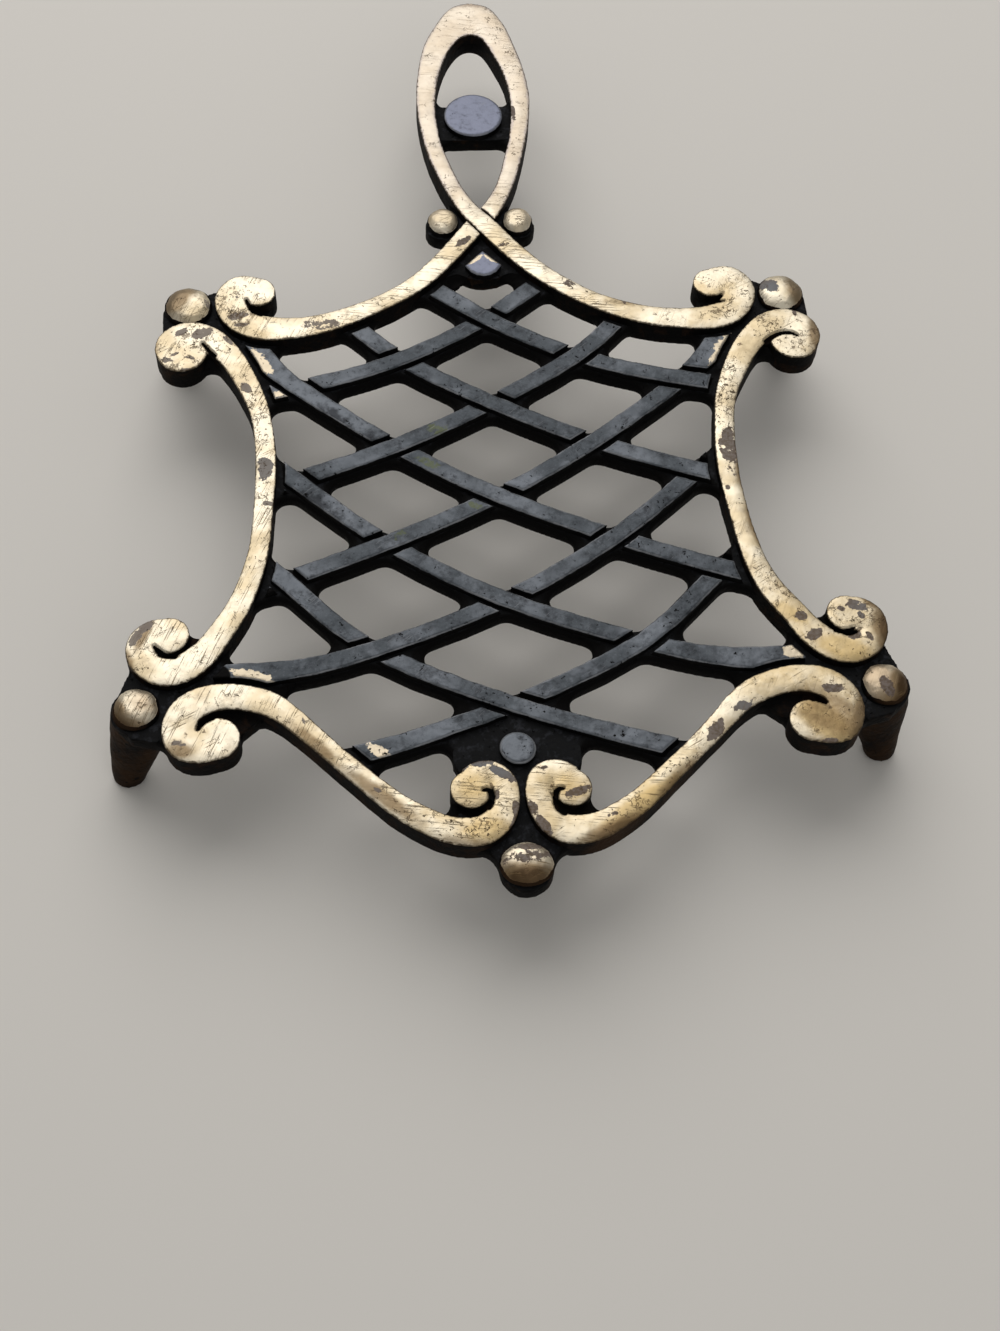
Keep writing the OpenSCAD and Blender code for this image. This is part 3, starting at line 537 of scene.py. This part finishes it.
rim_brass = brass_material("rubbed_brass", rim_top, 0.55 * mm, brass_pale, brass_deep, 0.42, 0.30)
for node, name in rims.items():
    rim = member(node, name)
    seam = {vertex.index for vertex in rim.data.vertices
            if abs(vertex.co.x) < 0.01 * mm and vertex.co.y > loop_join_y}
    as_cast(rim)
    outline = top_outline(rim.data, rim_top, seam)
    if seam:
        # The two sides of the loop run a little into each other at its top: no seam shows
        for vertex in rim.data.vertices:
            vertex.select = vertex.index in seam
        bpy.ops.object.mode_set(mode="EDIT")
        bpy.ops.transform.translate(value=(loop_overlap * (1 if node == "top_rim_over" else -1),
                                           0, 0))
        bpy.ops.object.mode_set(mode="OBJECT")
    skinned(rim, rim_skin, 2)
    crown(rim, outline, rim_top, rim_crown, rim_crown_reach)
    uneven(rim, 5 * mm, 0.20 * mm)
    carve(rim, rim_grooves, rim_top, groove_depth, groove_wall)
    spotted(rim, "patina", rim_patina)
    spotted(rim, "brown", rim_brown_and_shade)
    spotted(rim, "golden", rim_gold)
    spotted(rim, "cracked", rim_cracked)
    spotted(rim, "blue", rim_blue)
    spotted(rim, "pitted", rim_pitted)
    rim.data.materials.append(rim_brass)
    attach(rim, "root")
    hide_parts(node)

# ---------------------------------------------------------------------------
# Lattice. Ten flat straps, cast as if woven over and under. Their tops show
# gunmetal grey through rubbed paint, and their sides stay black. Where a strap
# dives under another its top ends just short of it.
# ---------------------------------------------------------------------------
strap_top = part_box("strap_down_1")[1][2]
strap_skin, strap_crown, strap_crown_reach = 0.30 * mm, 0.16 * mm, 0.9 * mm
gunmetal, gunmetal_light = (0.066, 0.075, 0.085), (0.145, 0.160, 0.182)
# A lighter grey for rubbed edges and scratches, partly a painted highlight on rounded edges
gunmetal_rub_and_highlight = (0.30, 0.31, 0.33)
gunmetal_dark = (0.018, 0.019, 0.022)
verdigris, worn_through = (0.10, 0.115, 0.060), (0.60, 0.52, 0.39)

# Straps' corner ends are rubbed down to the brass
strap_worn = [(-50.9, 7.5, 4.8, 2.1, -63, 1), (-46.9, -2.7, 2.5, 2.9, -79, 1),
              (52.9, 7.7, 7.2, 2.5, -113, 1), (-51.3, -73, 5, 1.6, -20, 1),
              (58.3, -71.2, 2.5, 1.8, -35, 1), (-26.6, -90.7, 4.2, 1.4, -36, 1)]
strap_painted = [(-59.2, -72.4, 2.9, 3.0, 22, 1.0), (45.9, -20.8, 2.2, 1.6, 0, 1.0),
                 (48.4, -45.6, 2.4, 1.5, 0, 1.0), (-48.8, -53.0, 2.2, 1.4, 0, 1.0)]
strap_green = [(-11.8, -12.4, 2.9, 1.6, -19, 1.0), (-14.7, -21.0, 2.8, 1.4, -40, 1.0),
               (-21.3, -39.6, 1.8, 1.2, 29, 0.7), (-5.2, -32.5, 1.8, 1.2, -33, 0.7)]
strap_rubbed = [(-45, 0, 20, 12, -40, 0.8), (45, 12, 14, 8, 0, 0.6), (0, -87, 12, 5, 0, 0.3)]
strap_stain = [(-38.0, -31.4, 6.0, 2.0, -39, 1.0), (-34.5, -8.3, 4.9, 1.6, -41, 1.0),
               (-28.1, -14.6, 2.9, 1.2, 15, 0.8)]


def lattice_material(name, level, plain, light, mottled, pitted):
    """Grey metal, plain and lighter, on the top and black paint on the sides."""
    material, tree, shader, place, split = start_material(name, 0.04)
    inset = noted(tree, "inset")
    ragged = noise(tree, place, 1000.0, 4.0, 0.65)
    broad = noise(tree, place, 60.0, 3.0, 0.5)
    blotch = noise(tree, place, 520.0, 5.0, 0.65, 0.3)
    mottle = noise(tree, place, 210.0, 8.0, 0.78)
    speck = noise(tree, place, 2200.0, 2.0, 0.6)
    bluer = calc(tree, "MULTIPLY_ADD", noted(tree, "rubbed"), 0.25, broad)
    colour = tint(tree, rise(tree, bluer, 0.42, 0.68), plain, light)
    cloud = noise(tree, place, 130.0, 6.0, 0.7, 0.5)
    colour = tint(tree, rise(tree, cloud, 0.50, 0.66, 0.8 * mottled), colour, light)
    colour = tint(tree, rise(tree, mottle, 0.47, 0.68, mottled), colour, gunmetal_dark)
    colour = tint(tree, rise(tree, speck, 0.52, 0.75, 0.35), colour, light)
    dark = rise(tree, calc(tree, "MULTIPLY_ADD", noted(tree, "stain"), 0.30, blotch), 0.50, 0.85)
    colour = tint(tree, calc(tree, "MULTIPLY", dark, 0.75), colour, gunmetal_dark)
    green = rise(tree, calc(tree, "MULTIPLY_ADD", noted(tree, "green"), 0.40, blotch), 0.72, 0.84)
    colour = tint(tree, calc(tree, "MULTIPLY", green, 0.7), colour, verdigris)
    worn = rise(tree, calc(tree, "MULTIPLY_ADD", noted(tree, "worn"), 0.50, blotch), 0.80, 0.86)
    colour = tint(tree, worn, colour, worn_through)
    # A thin lighter line along the edge: partly paint rubbed lighter, partly a painted highlight on
    # the rounded edge
    line = rise(tree, calc(tree, "MULTIPLY_ADD", ragged, 0.5, inset), 0.22, 0.34)
    line = calc(tree, "MULTIPLY", line,
                calc(tree, "SUBTRACT", 1.0, rise(tree, inset, 0.28, 0.55)))
    colour = tint(tree, calc(tree, "MULTIPLY", line, rise(tree, cloud, 0.35, 0.6, 0.75)), colour,
                  gunmetal_rub_and_highlight)
    holes = use(tree, pits, {"Vector": place, "Scale": 1100.0, "Share": pitted})
    colour = tint(tree, holes, colour, paint_black)
    lines = use(tree, scratches, {"Vector": place, "Turn": math.radians(-40), "Share": 0.1})
    colour = tint(tree, calc(tree, "MULTIPLY", lines, 0.4), colour, gunmetal_rub_and_highlight)
    sunk = calc(tree, "MULTIPLY_ADD", calc(tree, "SUBTRACT", ragged, 0.5), 0.35 * mm,
                calc(tree, "SUBTRACT", level, split[2]))
    side = calc(tree, "MAXIMUM", rise(tree, sunk, 0.42 * mm, 0.52 * mm),
                rise(tree, noted(tree, "painted"), 0.45, 0.60))
    colour = tint(tree, side, colour, paint_black)
    bare = calc(tree, "SUBTRACT", 1.0, side)
    rough = calc(tree, "MULTIPLY_ADD", blotch, 0.25, 0.28)
    rough = calc(tree, "MULTIPLY_ADD", side, 0.15, rough)
    metal = calc(tree, "MULTIPLY", bare, calc(tree, "MULTIPLY_ADD", worn, 0.3, 0.6))
    relief = use(tree, grain, {"Vector": place, "Scale": 1500.0})
    relief = calc(tree, "MULTIPLY", relief, 0.45)
    relief = calc(tree, "SUBTRACT", relief, calc(tree, "MULTIPLY", holes, 0.9))
    end_material(tree, shader, colour, rough, metal, relief, 0.10 * mm)
    return material


strap_grey = lattice_material("rubbed_grey_lattice", strap_top, gunmetal,
                              gunmetal_light, 0.70, 0.45)
for way in ("down", "up"):
    for number in range(1, 6):
        node = f"strap_{way}_{number}"
        strap = member(node, f"lattice_strap_{way}_{number}")
        as_cast(strap)
        outline = top_outline(strap.data, strap_top)
        skinned(strap, strap_skin, 2)
        crown(strap, outline, strap_top, strap_crown, strap_crown_reach)
        uneven(strap, 3 * mm, 0.38 * mm)
        spotted(strap, "worn", strap_worn)
        spotted(strap, "green", strap_green)
        spotted(strap, "stain", strap_stain)
        spotted(strap, "rubbed", strap_rubbed)
        spotted(strap, "painted", strap_painted)
        strap.data.materials.append(strap_grey)
        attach(strap, "root")
        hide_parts(node)

# ---------------------------------------------------------------------------
# Bosses. A lens-shaped boss under the crossing, a round disc between the two
# middle scrolls and an oval knob in the loop, each flat on top and rubbed grey.
# ---------------------------------------------------------------------------
bosses = {"neck_seed": "boss_neck_seed", "centre_disc": "boss_centre_disc",
          "loop_knob": "boss_loop_knob"}
boss_blue = lattice_material("rubbed_blue_boss", strap_top, (0.130, 0.143, 0.178),
                             (0.205, 0.222, 0.290), 0.20, 0.1)
for node, name in bosses.items():
    boss = member(node, name)
    as_cast(boss)
    outline = top_outline(boss.data, strap_top)
    skinned(boss, 0.25 * mm, 2)
    crown(boss, outline, strap_top, 0.30 * mm, 1.0 * mm)
    uneven(boss, 5 * mm, 0.12 * mm)
    spotted(boss, "worn", [(-1.9, 36.2, 3.2, 0.9, 33, 1.0), (2.5, 36.2, 3.2, 0.9, -33, 1.0)])
    spotted(boss, "rubbed", [(0, 82, 9, 9, 0, 1.2), (0, 32, 6, 5, 0, 1.2), (0, -91, 6, 6, 0, 1.3)])
    for mark in ("green", "stain", "painted"):
        spotted(boss, mark, [])
    boss.data.materials.append(strap_grey if node == "centre_disc" else boss_blue)
    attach(boss, "root")
    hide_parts(node)

# ---------------------------------------------------------------------------
# Pearls. Seven low domes of the same brass, worn bright on their crowns and
# brown towards their edges and outer sides: partly brown film, partly painted shade.
# ---------------------------------------------------------------------------
pearls = ["pearl_top_left", "pearl_top_right", "pearl_bottom_left", "pearl_bottom_right",
          "pearl_bottom_centre", "pearl_neck_left", "pearl_neck_right"]
pearl_dome, pearl_rub = 1.6 * mm, 1.9
pearl_pale, pearl_deep = (0.78, 0.70, 0.55), (0.50, 0.40, 0.28)
pearl_brass = brass_material("rubbed_pearl_brass", rim_top, 1.25 * mm, pearl_pale, pearl_deep,
                             0.80, 0.40)
high_brass = brass_material("rubbed_high_pearl_brass", rim_top, 1.25 * mm, brass_pale,
                            brass_deep, 0.35, 0.35)
pearl_patina = {"pearl_top_right": [(65.4, 25.9, 2.5, 1.8, -34, 1.0)],
                "pearl_bottom_centre": [(0.9, -112.5, 2.7, 0.8, 0, 1.0),
                                        (0.6, -114.6, 5.0, 1.6, 4, 0.7)],
                "pearl_bottom_right": [(75.9, -79.6, 2.6, 1.2, -78, 1.0)],
                "pearl_top_left": [(-62.8, 24.2, 2.1, 1.0, -74, 0.7)]}
# Browner places on the pearls: partly brown film, partly painted shade on their outer sides
pearl_brown_and_shade = {"pearl_bottom_right": [(80.2, -81.0, 3.0, 5.5, 0, 1.4)],
               "pearl_bottom_left": [(-78.6, -80.0, 3.6, 1.8, -80, 1.0)],
               "pearl_bottom_centre": [(0.6, -118.5, 6.0, 2.6, 0, 1.2)],
               "pearl_top_right": [(71.8, 24.4, 2.6, 5.5, 15, 0.9)],
               "pearl_top_left": [(-69.6, 25.6, 5.5, 3.2, 50, 1.0)]}
# How much wider and longer the real pearls are than the pattern's, and how far on they lie
pearl_grow = {"pearl_top_left": (1.12, 1.12, 0), "pearl_top_right": (1.10, 1.10, 0),
              "pearl_neck_left": (1.05, 1.20, 0.5 * mm), "pearl_neck_right": (1.05, 1.20, 0.5 * mm),
              "pearl_bottom_centre": (1.15, 0.98, 0)}
pearl_middles = {}
for node in pearls:
    pearl = member(node, "domed_" + node)
    as_cast(pearl)
    places = vertex_places(pearl.data)
    middle = (places.min(axis=0) + places.max(axis=0)) / 2
    top = places[:, 2].max()
    wider, longer, further = pearl_grow.get(node, (1, 1, 0))
    places[:, :2] = middle[:2] + (places[:, :2] - middle[:2]) * (wider, longer) + (0, further)
    middle[1] += further
    pearl.data.vertices.foreach_set("co", places.ravel())
    half = (places.max(axis=0) - places.min(axis=0)) / 2
    skinned(pearl, 0.28 * mm, 3)
    uneven(pearl, 3 * mm, 0.35 * mm)
    places = vertex_places(pearl.data)
    spread = (places[:, :2] - middle[:2]) / half[:2]
    away = np.hypot(spread[:, 0], spread[:, 1])
    # Rubbing has flattened the middle of the dome and left its edge steep
    fall = np.clip((top - places[:, 2]) / pearl_dome, 0, 1)
    places[:, 2] = np.where(fall < 1, top - pearl_dome * fall ** pearl_rub, places[:, 2])
    pearl.data.vertices.foreach_set("co", places.ravel())
    pearl.data.update()
    note(pearl.data, "inset", (1 - away) * half[0] / mm)
    # Brown grows towards the edge and the outward side of each corner and bottom dome: partly brown
    # film, partly painted shade
    outward = spread @ middle[:2] / math.hypot(*middle[:2])
    brown = 0 if "neck" in node else 0.7 if "top" in node else 1
    brown = brown * np.clip(away * 0.5 + outward * 1.1 - 0.1, 0, 1.2)
    brown = np.maximum(brown, spot_depth(places, pearl_brown_and_shade.get(node, [])))
    note(pearl.data, "brown", brown)
    spotted(pearl, "patina", pearl_patina.get(node, []))
    spotted(pearl, "blue", [(65.8, 24.6, 3.5, 3.0, 30, 1.0)])
    spotted(pearl, "cracked", [(67, 25, 8, 8, 0, 0.9), (-67, 25, 6, 6, 0, 0.5)])
    for mark in ("pitted", "golden"):
        spotted(pearl, mark, [])
    pearl.data.materials.append(pearl_brass if "bottom" in node else high_brass)
    pearl_middles[node] = middle
    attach(pearl, "root")
    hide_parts(node)

# ---------------------------------------------------------------------------
# Ground. The sunk faces of the casting between its members keep their black
# paint: four corner webs, the neck web and its pads, the centre web and the
# bar that carries the knob.
# ---------------------------------------------------------------------------
webs = ["corner_web_top_left", "corner_web_top_right", "corner_web_bottom_left",
        "corner_web_bottom_right", "neck_web", "neck_pad_left", "neck_pad_right",
        "centre_web", "loop_bar"]


def black_material(name, brown_low, brown_high, brown, sheen_share):
    """Old black paint over rough cast metal, brown where it is thin, and a painted
    grey sheen on the level faces between the members."""
    material, tree, shader, place, split = start_material(name, 0.04)
    broad = noise(tree, place, 140.0, 4.0, 0.6)
    blotch = noise(tree, place, 600.0, 4.0, 0.6)
    # Less brown where the thick mark is high: thick paint on the fillets, painted shade on the legs
    thin = calc(tree, "SUBTRACT", calc(tree, "MULTIPLY_ADD", blotch, 0.4, broad),
                noted(tree, "thick_paint_and_shade"))
    thin = rise(tree, thin, brown_low, brown_high)
    colour = tint(tree, thin, paint_black, brown)
    # Painted sheen: the level faces that face up are a lighter slate grey
    level_face = rise(tree, split[2], ground_top - 0.35 * mm, ground_top - 0.1 * mm, sheen_share)
    sheen = tint(tree, rise(tree, blotch, 0.50, 0.72), ground_sheen, ground_sheen_light)
    colour = tint(tree, level_face, colour, sheen)
    holes = use(tree, pits, {"Vector": place, "Scale": 900.0, "Share": 0.5})
    colour = tint(tree, holes, colour, hole_black)
    rough = calc(tree, "MULTIPLY_ADD", blotch, 0.25, 0.50)
    relief = use(tree, grain, {"Vector": place, "Scale": 1100.0})
    relief = calc(tree, "SUBTRACT", relief, calc(tree, "MULTIPLY", holes, 0.8))
    end_material(tree, shader, colour, rough, calc(tree, "MULTIPLY", thin, 0.2), relief,
                 0.16 * mm)
    return material


# Colours of the painted sheen on the level faces of the black ground
ground_sheen, ground_sheen_light = (0.012, 0.0125, 0.0135), (0.034, 0.036, 0.042)
hole_black = (0.002, 0.002, 0.002)
ground_black = black_material("old_black_paint", 0.72, 0.90, paint_brown, 0.9)
for node in webs:
    web = member(node, "ground_" + node)
    as_cast(web)
    skinned(web, 0.45 * mm, 2)
    uneven(web, 3 * mm, 0.30 * mm)
    web.data.materials.append(ground_black)
    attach(web, "root")
    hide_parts(node)

# ---------------------------------------------------------------------------
# Fillets. Below the tops the members run into each other as one casting. The
# straps are wider there and every opening has rounded corners, all painted black.
# ---------------------------------------------------------------------------
fillet_r, fillet_inset, fillet_skin = 2.1 * mm, 0.12 * mm, 0.5 * mm
strap_flare, fillet_paint = 0.65 * mm, 0.8
fillet_members = webs + list(rims) + [f"strap_{way}_{number}" for way in ("down", "up")
                                      for number in range(1, 6)]
copies = [member(node, "fillet_copy_" + node) for node in fillet_members]
for copy in copies:
    as_cast(copy)
    if "strap" in copy.name:
        # Below its top a strap widens to both sides
        finish_with(copy, "REMESH", mode="VOXEL", voxel_size=fillet_skin)
        finish_with(copy, "DISPLACE", strength=strap_flare, mid_level=0)
bpy.ops.object.select_all(action="DESELECT")
for copy in copies:
    copy.select_set(True)
fillets = copies[0]
bpy.context.view_layer.objects.active = fillets
bpy.ops.object.join()
fillets.name = fillets.data.name = "fillets_under_lattice"
# Everything above the ground is pressed flat on it, and everything below the underside
for level, outside in ((ground_top, 1), (underside, -1)):
    bpy.ops.object.mode_set(mode="EDIT")
    bpy.ops.mesh.select_mode(type="VERT")
    bpy.ops.mesh.select_all(action="DESELECT")
    bpy.ops.object.mode_set(mode="OBJECT")
    for vertex in fillets.data.vertices:
        vertex.select = (vertex.co.z - level) * outside > 0
    bpy.ops.object.mode_set(mode="EDIT")
    bpy.ops.transform.resize(value=(1, 1, 0), center_override=(0, 0, level))
    bpy.ops.object.mode_set(mode="OBJECT")
# Swelled and shrunk again in half steps, which closes every sharp inner corner with a
# round one
finish_with(fillets, "REMESH", mode="VOXEL", voxel_size=fillet_skin)
for swell in (fillet_r / 2, fillet_r / 2, -fillet_r / 2, -fillet_r / 2 - fillet_inset):
    finish_with(fillets, "DISPLACE", strength=swell, mid_level=0)
    finish_with(fillets, "REMESH", mode="VOXEL", voxel_size=fillet_skin, use_smooth_shade=True)
finish_with(fillets, "SMOOTH", factor=0.5, iterations=4)
finish_with(fillets, "DECIMATE", ratio=0.6)
# The paint lies thick down here
note(fillets.data, "thick_paint_and_shade", np.full(len(fillets.data.vertices), fillet_paint))
fillets.data.materials.append(ground_black)
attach(fillets, "root")

# ---------------------------------------------------------------------------
# Feet. Four short legs lean outwards from under the corner pearls. They flare
# where they leave the casting and are rough, brown-black and never rubbed.
# ---------------------------------------------------------------------------
# Rings of a leg in mm: height, how far its outer side stands out from its pearl, half
# width across, half width along, and how far it has moved along
leg_rings = [(23.7, 4.5, 4.4, 4.35, 0.0), (23.0, 4.95, 4.8, 4.75, 0.0), (22.0, 5.35, 5.2, 5.0, 0.1),
             (20.5, 5.7, 5.7, 5.2, 0.2), (18.0, 6.1, 6.3, 5.2, 0.5), (15.0, 6.5, 6.2, 4.9, 0.9),
             (11.0, 7.0, 5.5, 4.3, 1.5), (6.0, 7.5, 4.6, 3.8, 2.3), (2.0, 7.8, 3.9, 3.5, 2.9),
             (0.4, 7.75, 3.6, 3.3, 3.2), (0.0, 7.4, 3.1, 2.9, 3.3)]
leg_upright, leg_settled = 18 * mm, 6 * mm
# Height where the painted shade on a leg's inner side begins, and how far it takes to fade in
leg_shade_from, leg_shade_over = 16 * mm, 4 * mm
legs = {"foot_top_left": "pearl_top_left", "foot_top_right": "pearl_top_right",
        "foot_bottom_left": "pearl_bottom_left", "foot_bottom_right": "pearl_bottom_right"}
leg_black = black_material("brown_black_feet", 0.42, 0.95, foot_brown, 0.0)
for node, over in legs.items():
    low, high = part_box(over)
    pearl_x, pearl_y = (low[0] + high[0]) / 2, (low[1] + high[1]) / 2
    side, end = (1 if pearl_x > 0 else -1), (1 if "top" in node else -1)
    # The top of a leg follows its pearl to where the real casting has it
    shift = Vector((pearl_middles[over][0] - pearl_x, pearl_middles[over][1] - pearl_y, 0))
    rings = []
    for height, out_by, across, along, moved in leg_rings:
        share = min(1, max(0, (height * mm - leg_settled) / (leg_upright - leg_settled)))
        rings.append((Vector((pearl_x + side * (out_by - across) * mm,
                              pearl_y + end * moved * mm, height * mm)) + share * shift,
                      across * mm, along * mm))
    bpy.ops.object.select_all(action="DESELECT")
    bpy.ops.mesh.primitive_circle_add(vertices=48, radius=1, enter_editmode=True)
    centre, across, along = rings[0]
    bpy.ops.transform.resize(value=(across, along, 1), center_override=(0, 0, 0))
    bpy.ops.transform.translate(value=centre)
    for next_centre, next_across, next_along in rings[1:]:
        bpy.ops.mesh.extrude_region_move()
        bpy.ops.transform.resize(value=(next_across / across, next_along / along, 1),
                                 center_override=centre)
        bpy.ops.transform.translate(value=next_centre - centre)
        centre, across, along = next_centre, next_across, next_along
    bpy.ops.mesh.select_all(action="SELECT")
    bpy.ops.mesh.fill_holes(sides=0)
    bpy.ops.mesh.normals_make_consistent(inside=False)
    bpy.ops.object.mode_set(mode="OBJECT")
    leg = bpy.context.active_object
    leg.name = leg.data.name = "leg_" + node[5:]
    skinned(leg, 0.4 * mm, 6)
    uneven(leg, 6 * mm, 0.4 * mm)
    # Painted shade: the leg is black, not brown, near its top on the inner side, where it turns in
    # under the casting
    places = vertex_places(leg.data)
    outward = side * (places[:, 0] - pearl_middles[over][0]) / (5 * mm)
    note(leg.data, "thick_paint_and_shade", np.clip((places[:, 2] - leg_shade_from) / leg_shade_over, 0, 1)
         * np.clip(0.7 - outward * 1.5, 0, 1))
    leg.data.materials.append(leg_black)
    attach(leg, "root")
    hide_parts(node)

# ---------------------------------------------------------------------------
# Floor and light. A plain pale floor under soft light that comes mostly from
# behind the loop, and the camera above the bottom point.
# ---------------------------------------------------------------------------
bpy.ops.object.select_all(action="DESELECT")
bpy.ops.mesh.primitive_plane_add(size=6)
floor = bpy.context.active_object
floor.name = "floor"
pale = bpy.data.materials.new("pale_floor")
pale.use_nodes = True
floor_shader = pale.node_tree.nodes["Principled BSDF"]
floor_shader.inputs["Base Color"].default_value = (0.80, 0.78, 0.74, 1)
floor_shader.inputs["Roughness"].default_value = 0.8
floor.data.materials.append(pale)

world = bpy.data.worlds.new("studio")
world.use_nodes = True
world.node_tree.nodes["Background"].inputs["Color"].default_value = (1.0, 0.985, 0.96, 1)
world.node_tree.nodes["Background"].inputs["Strength"].default_value = 0.30
bpy.context.scene.world = world


def soft_lamp(name, place, aim, size, watts, colour=(1, 1, 1)):
    lamp = bpy.data.lights.new(name, "AREA")
    lamp.shape, lamp.size, lamp.energy, lamp.color = "DISK", size, watts, colour
    holder = bpy.data.objects.new(name, lamp)
    bpy.context.scene.collection.objects.link(holder)
    holder.location = place
    holder.rotation_euler = (Vector(aim) - Vector(place)).to_track_quat("-Z", "Y").to_euler()


soft_lamp("window_light", (-0.15, 0.80, 1.0), (0, 0, 0), 1.5, 9.5, (1.0, 0.97, 0.94))
soft_lamp("fill_light", (0.3, -0.9, 0.9), (0, 0, 0), 0.9, 1.0)

# The camera stands where the photograph's did
camera = bpy.data.objects.new("camera", bpy.data.cameras.new("camera"))
bpy.context.scene.collection.objects.link(camera)
camera.data.sensor_fit, camera.data.sensor_width, camera.data.lens = "AUTO", 36, 51.39
ahead = Vector((0.05943, 0.49646, -0.86603))
level_right, level_down = Vector((0.99291, -0.11886, 0)), Vector((-0.10294, -0.85989, -0.5))
roll = -0.07082
right = math.cos(roll) * level_right + math.sin(roll) * level_down
down = -math.sin(roll) * level_right + math.cos(roll) * level_down
camera.matrix_world = Matrix.Translation(Vector((-24.99, -263.11, 357.42)) * mm) @ Matrix(
    (right, -down, -ahead)).transposed().to_4x4()
bpy.context.scene.camera = camera
bpy.context.scene.view_settings.view_transform = "Standard"
